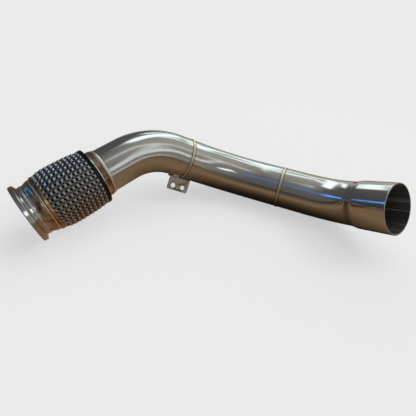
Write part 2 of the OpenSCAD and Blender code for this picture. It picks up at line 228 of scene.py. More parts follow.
class Piece:
    """A mesh made of one or more grids of points, with a UV map of true lengths: along and around."""

    def __init__(self, name):
        self.name, self.points, self.quads, self.uvs, self.facts = name, [], [], [], {}
        self.count = 0

    def grid(self, points, wrap_along=False, **facts):
        """Adds a grid (row, column, xyz) whose rows are closed rings, or a stack of such grids (grid,
        row, column, xyz). Each cell is a face. The faces of a grid are turned over together if its
        signed volume is negative. A fact is a value at each point, for the shaders."""
        stack = points if points.ndim == 4 else points[None]
        k, rows, columns = stack.shape[:3]
        i, j = np.meshgrid(
            np.arange(rows if wrap_along else rows - 1), np.arange(columns), indexing="ij")
        ni, nj = i + 1, j + 1
        cell = np.stack([
            i * columns + j, (ni % rows) * columns + j,
            (ni % rows) * columns + nj % columns, i * columns + nj % columns], -1)
        along = lengths_along(stack[0])
        mean_step = np.linalg.norm(np.roll(stack[0], -1, 1) - stack[0], axis=2).mean()
        around = mean_step * np.arange(columns + 1)
        laid = np.stack([
            np.stack([along[a], around[b]], -1) for a, b in ((i, j), (ni, j), (ni, nj), (i, nj))], -2)
        cell, laid = cell.reshape(-1, 4), laid.reshape(-1, 4, 2)
        flat = stack.reshape(k, -1, 3)
        p = flat[0] - flat[0].mean(0)
        volume = np.einsum(
            "ij,ij->", p[cell[:, 0]], np.cross(p[cell[:, 1]] - p[cell[:, 0]], p[cell[:, 3]] - p[cell[:, 0]]))
        if volume < 0:
            cell, laid = cell[:, ::-1], laid[:, ::-1]
        offsets = self.count + np.arange(k)[:, None, None] * rows * columns
        self.quads.append((cell[None] + offsets).reshape(-1, 4))
        self.uvs.append(np.broadcast_to(laid, (k,) + laid.shape).reshape(-1, 2))
        self.points.append(flat.reshape(-1, 3))
        for key, values in facts.items():
            full = np.broadcast_to(np.asarray(values, float), stack.shape[:3]).ravel()
            self.facts.setdefault(key, []).append(full)
        self.count += k * rows * columns
        return self

    def made(self, finish_made, slot, nodes, body=None):
        """Puts the arrays into a mesh, smooth all over, hangs it on its body if one is given, and hides the
        CAD parts that it stands for.
        """
        mesh = bpy.data.meshes.new(self.name)
        mesh.from_pydata(np.concatenate(self.points), [], np.concatenate(self.quads))
        layer = mesh.uv_layers.new(name=UV_NAME)
        layer.data.foreach_set("uv", np.concatenate(self.uvs).astype(np.float32).ravel())
        for key, values in self.facts.items():
            fact = mesh.attributes.new(key, "FLOAT", "POINT")
            fact.data.foreach_set("value", np.concatenate(values).astype(np.float32))
        mesh.polygons.foreach_set("use_smooth", np.ones(len(mesh.polygons), bool))
        mesh.materials.append(finish_made)
        obj = bpy.data.objects.new(self.name, mesh)
        bpy.context.scene.collection.objects.link(obj)
        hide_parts(*nodes)
        if body:
            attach(obj, body)
        return obj


# ---- shader trees ----

class Socket:
    """A socket that takes part in Python sums. Each operator adds its Math node to the tree."""

    def __init__(self, tree, link):
        self.tree, self.link = tree, link

    def math(self, operation, *values):
        return self.tree.node("ShaderNodeMath", {"operation": operation}, dict(enumerate(values)))

    def __add__(self, other):
        return self.math("ADD", self, other)

    def __sub__(self, other):
        return self.math("SUBTRACT", self, other)

    def __rsub__(self, other):
        return self.math("SUBTRACT", other, self)

    def __mul__(self, other):
        return self.math("MULTIPLY", self, other)

    def __truediv__(self, other):
        return self.math("DIVIDE", self, other)

    def __pow__(self, other):
        return self.math("POWER", self, other)

    def __abs__(self):
        return self.math("ABSOLUTE", self)

    __radd__, __rmul__ = __add__, __mul__

    def between(self, low, high):
        """0 below low, 1 above high, and a smooth step between them."""
        return self.tree.node(
            "ShaderNodeMapRange", {"interpolation_type": "SMOOTHSTEP"},
            {"Value": self, "From Min": low, "From Max": high})

    def part(self, index):
        """X, Y or Z of a vector."""
        return self.tree.node("ShaderNodeSeparateXYZ", {}, {0: self}, index)


class Tree:
    """A node tree that is built by calls: nodes take their settings first, then values or links."""

    def __init__(self, tree):
        self.tree = tree
        tree.nodes.clear()

    def node(self, kind, settings=None, inputs=None, output=0):
        made = self.tree.nodes.new(kind)
        for key, value in (settings or {}).items():
            if key == "stops":
                elements = made.color_ramp.elements
                while len(elements) < len(value):
                    elements.new(1)
                for element, (position, colour) in zip(elements, value):
                    element.position, element.color = position, (*colour, 1)
            else:
                setattr(made, key, value)
        for key, value in (inputs or {}).items():
            socket = made.inputs[key]
            if isinstance(value, Socket):
                self.tree.links.new(value.link, socket)
            else:
                full = socket.type == "RGBA" and len(value) == 3
                socket.default_value = (*value, 1) if full else value
        return Socket(self, made.outputs[output]) if made.outputs else None

    def mixed(self, share, low, high):
        """A colour between low and high."""
        return self.node("ShaderNodeMix", {"data_type": "RGBA"}, {0: share, 6: low, 7: high}, 2)

    def ramp(self, share, *stops):
        return self.node("ShaderNodeValToRGB", {"stops": stops}, {0: share})

    def fact(self, name):
        return self.node("ShaderNodeAttribute", {"attribute_name": name}, {}, "Fac")

    def place(self):
        return self.node("ShaderNodeTexCoord", {}, {}, "Object")

    def seen(self):
        """1 where the camera looks straight at the surface, 0 in mirrors and for light."""
        return self.node("ShaderNodeLightPath", {}, {}, "Is Camera Ray")

    def noise(self, vector, scale, detail=3.0, roughness=0.55):
        return self.node(
            "ShaderNodeTexNoise", {},
            {"Vector": vector, "Scale": scale, "Detail": detail, "Roughness": roughness})

    def lines(self, along, around, detail=3.0):
        """Noise drawn out into lines: the UV map's lengths times one scale each way."""
        laid = self.node("ShaderNodeUVMap", {"uv_map": UV_NAME})
        drawn = self.node("ShaderNodeMapping", {}, {"Vector": laid, "Scale": (along, around, 1)})
        return self.noise(drawn, 1.0, detail)

    def bump(self, height, depth, normal=None):
        """A bump of the given depth in metres."""
        inputs = {"Height": height, "Distance": depth, "Strength": 1.0}
        if normal:
            inputs["Normal"] = normal
        return self.node("ShaderNodeBump", {}, inputs)

    def metal(self, colour, roughness, normal, metallic=1.0):
        shader = self.node("ShaderNodeBsdfPrincipled", {}, {
            "Base Color": colour, "Roughness": roughness, "Normal": normal, "Metallic": metallic})
        self.node("ShaderNodeOutputMaterial", {}, {"Surface": shader})


def finish(name):
    """A new material and its tree."""
    material = bpy.data.materials.new(name)
    material.use_nodes = True
    return material, Tree(material.node_tree)


STEEL = (0.60, 0.585, 0.56)
STRAW = (0.60, 0.50, 0.34)
BRONZE = (0.34, 0.23, 0.14)


def brushed_tube():
    """Bent tube: long fine grain, faint dents in its reflections, and heat colours beside the welds.
    Its inside is duller, with painted shade that makes it dark and painted light in pale streaks along it."""
    material, t = finish("brushed_tube")
    fine, broad, streaks = t.lines(30, 3200, 2), t.lines(9, 420, 3), t.lines(2, 130, 3)
    smudge = t.noise(t.place(), 26, 4)
    gap = t.fact("weld_gap") + (smudge - 0.5) * 1.5
    heat = t.ramp(gap / 16.0, (0.0, STRAW), (0.16, STRAW), (0.20, BRONZE), (0.25, STRAW), (0.36, STEEL))
    grain = fine * 0.6 + broad * 0.4
    colour = t.mixed(0.22 * grain, heat, (0.30, 0.29, 0.28))
    inside = t.fact("inside")
    # Inside the tube: painted shade as a dark colour, with painted light as pale streaks along it.
    drawn = t.mixed(streaks.between(0.5, 0.66), (0.11, 0.11, 0.095), (0.62, 0.66, 0.66))
    colour = t.mixed(0.8 * inside, colour, drawn)
    rough = 0.065 + 0.08 * fine + 0.05 * smudge.between(0.35, 0.75)
    dents = t.bump(t.noise(t.place(), 24, 1.5), 0.0002)
    t.metal(colour, rough + 0.12 * inside, t.bump(grain, 0.000007, dents), 1 - 0.55 * inside)
    return material


def turned_steel():
    """Lathe-turned flange: rings of fine grooves."""
    material, t = finish("turned_steel")
    rings, smudge = t.lines(5200, 7, 2), t.noise(t.place(), 40, 4)
    colour = t.mixed(0.25 * rings, (0.62, 0.60, 0.57), (0.30, 0.27, 0.24))
    rough = 0.08 + 0.08 * rings + 0.08 * smudge.between(0.4, 0.8)
    t.metal(colour, rough, t.bump(rings, 0.000006))
    return material


def tinted_steel():
    """Neck and collar, coloured straw and bronze by the welds at their ends."""
    material, t = finish("tinted_steel")
    rings, patches = t.lines(1500, 10, 3), t.noise(t.place(), 38, 4)
    gap = t.fact("weld_gap") + (patches - 0.5) * 5
    heat = t.ramp(
        gap / 9.0, (0.0, (0.30, 0.15, 0.07)), (0.2, (0.50, 0.29, 0.14)), (0.45, (0.62, 0.42, 0.25)),
        (0.75, (0.60, 0.52, 0.43)), (1.0, (0.64, 0.61, 0.57)))
    soot = rings.between(0.50, 0.68) * 0.5 + t.noise(t.place(), 55, 2).between(0.5, 0.66) * 0.6
    colour = t.mixed(soot, heat, (0.10, 0.062, 0.038))
    rough = 0.12 + 0.12 * rings + 0.06 * patches
    t.metal(colour, rough, t.bump(rings, 0.00002))
    return material


def cap_steel():
    """Pressed cap: its rim is coloured near black, and its drawn web is plain steel."""
    material, t = finish("cap_steel")
    rings, patches = t.lines(1800, 9, 3), t.noise(t.place(), 60, 4)
    dark = t.fact("rim")
    colour = t.mixed(dark, (0.60, 0.585, 0.555), (0.030, 0.027, 0.025))
    rough = 0.16 + 0.14 * dark + 0.10 * rings + 0.06 * patches
    t.metal(colour, rough, t.bump(rings, 0.000015))
    return material


def braid_wire():
    """Drawn stainless wire, with a painted highlight on the crests of the bellows and painted shade in the
    hollows of the weave.
    """
    material, t = finish("braid_wire")
    place = t.place()
    patches, fine = t.noise(place, 90, 3), t.noise(place, 1400, 2)
    # Painted light: near white where the crown fact marks a crest, and darker where a wire dips under the
    # other family.
    bright = t.fact("depth") * 0.25 + t.fact("crown").between(0.3, 0.95) * 0.75
    shade = t.mixed(bright, (0.12, 0.115, 0.11), (0.98, 0.98, 0.97))
    colour = t.mixed(0.15 * patches, shade, (0.16, 0.13, 0.11))
    t.metal(colour, 0.16 + 0.14 * fine, t.bump(fine, 0.000008))
    return material


def bellows_sheet():
    """Thin formed sheet of the bellows and the liner, coloured near black as painted shade, so that the
    braid's holes show dark.
    """
    material, t = finish("bellows_sheet")
    rings, patches = t.lines(2200, 12, 3), t.noise(t.place(), 50, 4)
    # Painted shade: near-black colours for the sheet seen through the braid's holes.
    colour = t.mixed(patches, (0.11, 0.105, 0.10), (0.045, 0.04, 0.036))
    t.metal(colour, 0.22 + 0.12 * rings, t.bump(rings, 0.00001))
    return material


def weld_bead():
    """Bead of filler: silver crowns, with straw, bronze and blue at its edges and in its ripples."""
    material, t = finish("weld_bead")
    patches = t.noise(t.place(), 120, 3)
    edge = t.fact("edge") + (patches - 0.5) * 0.5
    heat = t.ramp(
        edge, (0.0, (0.86, 0.87, 0.84)), (0.5, (0.80, 0.77, 0.68)), (0.8, (0.50, 0.38, 0.23)),
        (0.92, (0.22, 0.15, 0.10)), (1.0, (0.10, 0.08, 0.07)))
    colour = t.mixed(t.fact("ripple") * 0.4, heat, (0.26, 0.20, 0.14))
    t.metal(colour, 0.20 + 0.18 * patches, t.bump(t.noise(t.place(), 900, 3), 0.00003))
    return material


def plain_plate():
    """Laser-cut plate with its mill finish and a few scratches."""
    material, t = finish("plain_plate")
    place = t.place()
    mill, patches = t.noise(place, 700, 4), t.noise(place, 55, 4)
    scratch = t.node("ShaderNodeMapping", {}, {
        "Vector": place, "Rotation": (0.3, 0.5, 0.9), "Scale": (2400, 60, 2400)})
    lines = t.noise(scratch, 1.0, 2).between(0.62, 0.72)
    colour = t.mixed(patches, (0.60, 0.56, 0.46), (0.44, 0.40, 0.32))
    rough = 0.40 + 0.14 * mill - 0.08 * lines
    t.metal(colour, rough, t.bump(mill * 0.7 + lines * 0.3, 0.00003))
    return material


# ---- tubes ----

def weld_gap(stations, length, ends=(True, True)):
    """Distance in millimetres from each station to the nearest welded end of a tube."""
    gaps = [stations] if ends[0] else []
    gaps += [length - stations] if ends[1] else []
    return np.min(np.abs(gaps), 0)[:, None] / MM


def tube_skin(name, run, stations, outer, material, node, ends):
    """A tube wall as one closed skin: outside forwards, then inside backwards, a wall's thickness in."""
    both = np.concatenate([stations, stations[::-1]])
    radii = np.concatenate([outer, outer[::-1] - TUBE_WALL])
    skin = turned_ring(run.frames(both), radii)
    inside = np.repeat([0.0, 1.0], stations.size)[:, None]
    piece = Piece(name).grid(skin, wrap_along=True, weld_gap=weld_gap(both, run.length, ends), inside=inside)
    return piece.made(material, "brushed_tube", [node], "pipe")


def rounded_end(station, radius, lip=0.5 * MM):
    """Stations and radii of a tube's outer edge that is eased into its cut face."""
    a = np.radians([20, 45, 70, 90])
    return station + lip * np.sin(a), radius - lip * (1 - np.cos(a))


tube_finish = brushed_tube()
ROW_SPACING = 2 * MM
elbow_stations = np.arange(-COLLAR_GRIP, elbow_run.length + 0.1 * MM, ROW_SPACING)
elbow_stations[-1] = elbow_run.length
tube_skin("elbow_skin", elbow_run, elbow_stations, np.full(elbow_stations.size, TUBE_R), tube_finish,
          "elbow", (True, True))
mid_stations = np.linspace(0, mid_run.length, 100)
tube_skin("mid_tube_skin", mid_run, mid_stations, np.full(mid_stations.size, TUBE_R), tube_finish,
          "mid_tube", (True, True))

socket_start = outlet_run.length
mouth = socket_start + SOCKET_TAPER + SOCKET_DEPTH
STEP_EASE = 5 * MM
LEAD_ROWS, STEP_ROWS, SOCKET_ROWS = 70, 20, 27
step_start, step_end = socket_start - STEP_EASE, socket_start + SOCKET_TAPER + STEP_EASE
lip_stations, lip_radii = rounded_end(mouth - 0.5 * MM, SOCKET_R)
outlet_stations = np.concatenate([
    np.linspace(0, step_start, LEAD_ROWS, endpoint=False), np.linspace(step_start, step_end, STEP_ROWS),
    np.linspace(step_end, mouth - 0.8 * MM, SOCKET_ROWS + 1)[1:], lip_stations])
outlet_radii = np.concatenate([
    np.full(LEAD_ROWS, TUBE_R), eased(TUBE_R, SOCKET_R, STEP_ROWS), np.full(SOCKET_ROWS, SOCKET_R),
    lip_radii])
tube_skin("outlet_tube_skin", outlet_run, outlet_stations, outlet_radii, tube_finish,
          "outlet_tube", (True, False))


# ---- turned and pressed rings on the inlet's axis ----

def turned_piece(name, outline, finish_made, slot, node, body, bevel=0.25 * MM, **facts):
    """A closed outline of (radius, station) points turned round the inlet's axis, its corners broken."""
    p = softened(outline, bevel)
    values = {key: rule(p)[:, None] for key, rule in facts.items()}
    ring = turned_ring(on_axis(p[:, 1]), p[:, 0])
    return Piece(name).grid(ring, wrap_along=True, **values).made(finish_made, slot, [node], body)


slope_end = RIM_WIDTH + (RIM_R - HUB_R) * math.tan(RIM_SLOPE)
EDGE_R = 1.2 * MM
chamfer = HUB_R - TUBE_WALL - INLET_BORE_R
flange_outline = np.concatenate([
    [(STEP_R, 0)], arc((RIM_R - EDGE_R, EDGE_R), EDGE_R, -90, 0, 6),
    arc((RIM_R - EDGE_R, RIM_WIDTH - EDGE_R), EDGE_R, 0, 70, 6),
    [(HUB_R, slope_end), (HUB_R, FLANGE_LENGTH), (INLET_BORE_R + chamfer, FLANGE_LENGTH),
     (INLET_BORE_R, FLANGE_LENGTH - chamfer), (INLET_BORE_R, STEP_DEPTH), (STEP_R, STEP_DEPTH)]])
turned_piece("flange_turned", flange_outline, turned_steel(), "turned_steel", "inlet_flange", "inlet")

tinted_finish = tinted_steel()
FLAT = 2 * MM
neck_z = np.linspace(NECK_START + FLAT, INLET_CAP_START - 2 * FLAT, 14)
neck_r = eased(HUB_R, NECK_R, 14)
neck_outer = np.concatenate([
    [(HUB_R, NECK_START)], np.stack([neck_r, neck_z], 1), [(NECK_R, INLET_CAP_START)]])
neck_outline = np.concatenate([neck_outer, neck_outer[::-1] - (TUBE_WALL, 0)])
turned_piece("neck_flared", neck_outline, tinted_finish, "tinted_steel", "inlet_neck", "inlet",
             weld_gap=lambda p: 0.62 * (INLET_CAP_START - p[:, 1]) / MM)


def cap_outline(outer, width, web_in, start, way):
    """A cap's section: a flat web, a rounded edge and a rim that grips the braid."""
    p = np.concatenate([
        [(web_in, 0)], arc((outer - CAP_WALL, CAP_WALL), CAP_WALL, -90, 0, 7),
        arc((outer - CAP_WALL / 2, width - CAP_WALL / 2), CAP_WALL / 2, 0, 180, 7),
        [(outer - CAP_WALL, CAP_WEB), (web_in, CAP_WEB)]])
    return p * (1, way) + (0, start)


cap_finish = cap_steel()
collar_in = TUBE_R + COLLAR_CLEAR
collar_out = collar_in + COLLAR_WALL
turned_piece("inlet_cap_pressed",
             cap_outline(INLET_CAP_R, INLET_CAP_WIDTH, NECK_R - TUBE_WALL, INLET_CAP_START, 1),
             tinted_finish, "cap_steel", "inlet_cap", "inlet",
             weld_gap=lambda p: 1.5 + 0.4 * (p[:, 1] - INLET_CAP_START) / MM)
turned_piece("outlet_cap_pressed",
             cap_outline(OUTLET_CAP_R, OUTLET_CAP_WIDTH, collar_in, OUTLET_CAP_END, -1),
             cap_finish, "cap_steel", "outlet_cap", "pipe",
             rim=lambda p: np.clip((p[:, 0] - OUTLET_CAP_R + 1.2 * MM) / (0.6 * MM), 0, 1))
collar_outline = [(collar_in, OUTLET_CAP_END), (collar_out, OUTLET_CAP_END),
                  (collar_out, COLLAR_END), (collar_in, COLLAR_END)]
turned_piece("collar_sleeve", collar_outline, tinted_finish, "tinted_steel", "outlet_collar", "pipe",
             weld_gap=lambda p: (COLLAR_END - p[:, 1]) / MM)


fillet = arc((collar_out + CAP_FILLET, OUTLET_CAP_END + CAP_FILLET), CAP_FILLET, 270, 180, 9)
fillet_outline = np.concatenate([[(collar_out - 0.2 * MM, OUTLET_CAP_END - 0.2 * MM)], fillet])


# ---- weld beads ----

def ripple_wave(phase):
    """The scalloped height of stacked weld puddles: steep ahead, long behind, from 0 to 1."""
    saw = phase % 1.0
    return np.sin(np.pi * saw ** 0.6)


POINTS_A_PUDDLE = 8
POINTS_ACROSS = 13


def bead_grid(start, on_r, width, height, pitch, seed):
    """A bead round a tube: across it, height times (1 - v squared) to the power 0.7; along it, puddles
    whose fronts bow by v squared times half a pitch; its width and height wander a little, by sines
    of seeded phases. A last column inside the tube's wall closes each section."""
    rng = np.random.default_rng(seed)
    puddles = int(round(2 * np.pi * on_r / pitch))
    around = puddles * POINTS_A_PUDDLE
    a = np.linspace(0, 2 * np.pi, around, endpoint=False)[:, None]
    v = np.linspace(-1, 1, POINTS_ACROSS)[None, :]
    wander = sum(
        np.sin(k * a + rng.uniform(0, 2 * np.pi)) * rng.uniform(0.3, 1) / k for k in (3, 7, 12, 19))
    phase = puddles * a / (2 * np.pi) + 0.55 * v ** 2
    wave = ripple_wave(phase)
    crown = (1 - v ** 2) ** 0.7
    r = on_r - 0.05 * MM + crown * height * (0.80 + 0.20 * wave + 0.05 * wander)
    r = np.minimum(r, on_r + height)
    z = v * width / 2 * (0.93 + 0.035 * wave + 0.03 * wander)
    local = np.stack([r * np.cos(a), r * np.sin(a), z + 0 * a], -1)
    inner_r = on_r - 0.4 * MM
    inner = np.stack([inner_r * np.cos(a), inner_r * np.sin(a), 0 * a], -1)
    local = np.concatenate([local, inner], 1)
    frames = np.repeat(start, around, 0)
    edge = np.concatenate([np.abs(v) + 0 * a, np.ones_like(a)], 1)
    ripple = np.concatenate([(1 - wave) ** 2, np.zeros_like(a)], 1)
    return placed(frames, local), edge, ripple


bead_finish = weld_bead()


def ring_bead(name, start, on_r, node, body, seed, width=BEAD_WIDTH, height=BEAD_HEIGHT, pitch=2.3 * MM,
              tint=1.0):
    """One weld bead. Tint is how far its edges go into the heat colours."""
    points, edge, ripple = bead_grid(start, on_r, width, height, pitch, seed)
    piece = Piece(name).grid(points, wrap_along=True, edge=edge * tint, ripple=ripple)
    return piece.made(bead_finish, "weld_bead", [node], body)


thin = dict(width=NECK_BEAD_WIDTH, height=BEAD_HEIGHT * 0.8, pitch=1.7 * MM)
ring_bead("flange_weld_bead", on_axis(NECK_START), HUB_R, "flange_weld", "inlet", seed=3, **thin)
ring_bead("neck_weld_bead", on_axis(INLET_CAP_START - NECK_BEAD_WIDTH / 2), NECK_R, "neck_weld", "inlet",
          seed=4, **thin)
ring_bead("collar_weld_bead", on_axis(COLLAR_END + COLLAR_BEAD_WIDTH / 2), TUBE_R, "collar_weld", "pipe",
          width=COLLAR_BEAD_WIDTH, height=COLLAR_CLEAR + COLLAR_WALL * 0.55, seed=5, tint=0.5)
turned_piece("cap_fillet_bead", fillet_outline, bead_finish, "weld_bead", "cap_weld", "pipe", bevel=0.1 * MM,
             edge=lambda p: 0.3 + 0 * p[:, 0], ripple=lambda p: 0 * p[:, 0])
ring_bead("elbow_weld_bead", ELBOW_END, TUBE_R, "elbow_weld", "pipe", seed=6)
ring_bead("outlet_weld_bead", MID_END, TUBE_R, "outlet_weld", "pipe", seed=7)


# ---- the flexible coupling ----

def braid_at(z):
    """Outer radius of the braid: a barrel between the two caps, with one ripple a crest."""
    u = np.clip((z - FLEX_START) / FLEX_LENGTH, 0, 1)
    cap_in = CAP_WALL + LAYER_GAP
    end_r = (1 - u) * (INLET_CAP_R - cap_in) + u * (OUTLET_CAP_R - cap_in)
    barrel = (1 - np.abs(2 * u - 1) ** 3) ** 0.8
    ripple = BRAID_RIPPLE * np.cos(2 * np.pi * (z - FLEX_MIDDLE) / CREST_PITCH)
    return end_r + (BRAID_R - BRAID_RIPPLE - end_r) * barrel + ripple * np.minimum(1, 3 * barrel)


RIBBONS = 37
WIRES = 5
WIRE_R = 0.26 * MM
WIRE_LIFT = 0.24 * MM
WIRE_SPACING = 0.52 * MM
ROWS_A_CREST = 2
STEPS_A_ROW = 5


def wire_grids(way, start, end):
    """One family of the braid's wires, as a stack of thin tubes. A wire is a helix on the braid's
    barrel: its angle grows with the station by pi over (ribbons times the row spacing), to the side
    given by way. It rises and dips once a crossing, as minus way times the cosine of pi times the row,
    so that the families pass over and under each other. A ribbon's wires lie side by side. The crown
    fact is 1 on a crest of the bellows and 0 between crests: the cosine wave of the ripple."""
    row = CREST_PITCH / ROWS_A_CREST
    count = int(round((end - start) / row * STEPS_A_ROW)) + 1
    z = np.linspace(start, end, count)
    rate = np.pi / (RIBBONS * row)
    slant = math.atan(rate * BRAID_R)
    ribbon, wire = np.meshgrid(np.arange(RIBBONS), np.arange(WIRES) - (WIRES - 1) / 2, indexing="ij")
    apart = WIRE_SPACING / math.cos(slant) / BRAID_R
    first = (2 * np.pi * ribbon / RIBBONS + wire * apart).ravel()[:, None]
    a = first + way * rate * (z - FLEX_MIDDLE)[None, :]
    lift = -way * np.cos(np.pi * (z - FLEX_MIDDLE) / row)[None, :] + 0 * a
    r = braid_at(z)[None, :] - WIRE_R - WIRE_LIFT * (1 - lift)
    centre = np.stack([r * np.cos(a), r * np.sin(a), z[None, :] + 0 * a], -1)
    ahead = np.gradient(centre, axis=1)
    ahead /= np.linalg.norm(ahead, axis=-1, keepdims=True)
    out = np.stack([np.cos(a), np.sin(a), 0 * a], -1)
    side = np.cross(ahead, out)
    side /= np.linalg.norm(side, axis=-1, keepdims=True)
    up = np.cross(side, ahead)
    turns = np.arange(4) * np.pi / 2
    ring = up[:, :, None] * np.cos(turns)[:, None] + side[:, :, None] * np.sin(turns)[:, None]
    local = centre[:, :, None] + WIRE_R * ring
    world = local @ INLET[0, :3, :3].T + INLET[0, :3, 3]
    # The depth and crown facts drive the wire finish's painted shade and painted highlight.
    depth = np.broadcast_to(((lift + 1) / 2)[:, :, None], world.shape[:3])
    crown = (1 + np.cos(2 * np.pi * (z - FLEX_MIDDLE) / CREST_PITCH)) / 2
    return world, depth, np.broadcast_to(crown[None, :, None], world.shape[:3])


def soft_half(obj, half):
    """Bakes the half's place into its mesh, the same for either half; the bodies and end points passed on are
    not used.
    """
    if half == "inlet":
        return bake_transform(obj, "inlet", "flex", start=axis_point(FLEX_START), end=axis_point(FLEX_MIDDLE))
    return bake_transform(obj, "flex", "pipe", start=axis_point(FLEX_MIDDLE), end=axis_point(FLEX_END))


wire_finish = braid_wire()
GRIPPED = 2.5 * MM
for half, z0, z1 in (
        ("inlet", FLEX_START - GRIPPED, FLEX_MIDDLE), ("outlet", FLEX_MIDDLE, FLEX_END + GRIPPED)):
    for family, way in (("right", 1), ("left", -1)):
        points, depth, crown = wire_grids(way, z0, z1)
        wires = Piece(f"braid_{family}_{half}").grid(points, depth=depth, crown=crown)
        soft_half(wires.made(wire_finish, "braid_wire", ["braid"]), half)


def bellows_profile(half):
    """The bellows' wall from one cuff to the middle crest: U-shaped crests and roots made of half
    circles, drawn as the outer face out and the inner face back."""
    turn_r = CREST_PITCH / 4
    mid_wall = BELLOWS_WALL / 2
    way = 1 if half == "outlet" else -1
    offsets = np.arange(CREST_COUNT // 2 + 1) * CREST_PITCH
    faces = []
    for side in (1, -1):
        grown = side * mid_wall
        points = [arc((crest_at(0) - mid_wall - turn_r, 0), turn_r + grown, 0, 90, 7)]
        for k, z in enumerate(offsets[1:]):
            root = (ROOT_R - mid_wall + turn_r, z - CREST_PITCH / 2)
            points.append(arc(root, turn_r - grown, 270, 90, 9))
            top = crest_at(way * z) - mid_wall - turn_r
            points.append(arc((top, z), turn_r + grown, -90, 90, 13))
        cuff = (INLET_CAP_R if half == "inlet" else OUTLET_CAP_R) - CAP_WALL - BRAID_GRIP - 2 * LAYER_GAP
        last = offsets[-1] + turn_r
        edge = FLEX_LENGTH / 2
        points.append([
            (ROOT_R - mid_wall + grown, last + 1.2 * MM), (ROOT_R - mid_wall + grown, edge - mid_wall),
            (cuff + (0 if side > 0 else -BELLOWS_WALL), edge - mid_wall + grown),
            (cuff + (0 if side > 0 else -BELLOWS_WALL), edge + 2.2 * MM)])
        faces.append(np.concatenate(points))
    loop = np.concatenate([faces[0], faces[1][::-1]])
    return np.stack([loop[:, 0], FLEX_MIDDLE + way * loop[:, 1]], 1)


def crest_at(offset):
    """Radius of a crest at an offset from the coupling's middle: the lowest, over the crest's width, of
    the braid's inner radius less the gap plus the fall of the crest's circle there."""
    reach = CREST_PITCH / 4 + BELLOWS_WALL / 2
    across = reach * np.arange(-4, 5) / 5
    fall = reach - np.sqrt(reach ** 2 - across ** 2)
    return (braid_at(FLEX_MIDDLE + offset + across) - BRAID_WALL - CREST_GAP + fall).min()


BELLOWS_AROUND = 108
sheet_finish = bellows_sheet()
for half in ("inlet", "outlet"):
    loop = bellows_profile(half)
    skin = turned_ring(on_axis(loop[:, 1]), loop[:, 0], BELLOWS_AROUND)
    bellows = Piece(f"bellows_{half}").grid(skin, wrap_along=True)
    soft_half(bellows.made(sheet_finish, "bellows_sheet", ["bellows"]), half)


LINER_AROUND = 48


def liner_strip(start, turns):
    """The interlocked strip: a hooked section carried round a helix, one pitch ahead a turn."""
    low, high, t = LINER_R, LINER_R + LINER_HOOK, LINER_WALL
    section = softened([
        (low, 0.02 * MM), (high - t, 0.02 * MM), (high - t, LINER_PITCH / 2), (low, LINER_PITCH / 2),
        (low, LINER_PITCH - 0.02 * MM), (low + t, LINER_PITCH - 0.02 * MM),
        (low + t, LINER_PITCH / 2 + t), (high, LINER_PITCH / 2 + t), (high, -t / 2), (low, -t / 2)],
        0.12 * MM)
    a = np.linspace(0, 2 * np.pi * turns, int(turns * LINER_AROUND) + 1)
    frames = on_axis(start + LINER_PITCH * a / (2 * np.pi)) @ turn("z", np.degrees(a))
    local = np.stack([section[:, 0], 0 * section[:, 0], section[:, 1]], 1)
    return placed(frames, np.broadcast_to(local, (a.size,) + local.shape))


LINER_START = INLET_CAP_START + CAP_WEB + 1 * MM
INLET_TURNS, OUTLET_TURNS = 10.5, 11
for half, start, turns in (("inlet", LINER_START, INLET_TURNS),
                           ("outlet", LINER_START + INLET_TURNS * LINER_PITCH, OUTLET_TURNS)):
    liner = Piece(f"liner_{half}").grid(liner_strip(start, turns))
    soft_half(liner.made(sheet_finish, "bellows_sheet", ["liner"]), half)


# ---- the bracket ----

BRACKET = ELBOW_END @ turn("z", PLATE_ROLL)


def cut_plate():
    """The bracket's CAD solid, merged, with its cut edges broken by a small bevel."""
    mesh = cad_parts["bracket"].data.copy()
    mesh.name = "bracket_plate"
    obj = bpy.data.objects.new("bracket_plate", mesh)
    bpy.context.scene.collection.objects.link(obj)
    weld = obj.modifiers.new("merge", "WELD")
    weld.merge_threshold = 0.001 * MM
    bevel = obj.modifiers.new("broken edges", "BEVEL")
    bevel.width, bevel.segments, bevel.limit_method = 0.35 * MM, 2, "ANGLE"
    bevel.angle_limit = math.radians(40)
    bevel.harden_normals = True
    bevel.use_clamp_overlap = True
    mesh.polygons.foreach_set("use_smooth", np.ones(len(mesh.polygons), bool))
    mesh.materials.clear()
    mesh.materials.append(plain_plate())
    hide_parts("bracket")
    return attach(obj, "pipe")


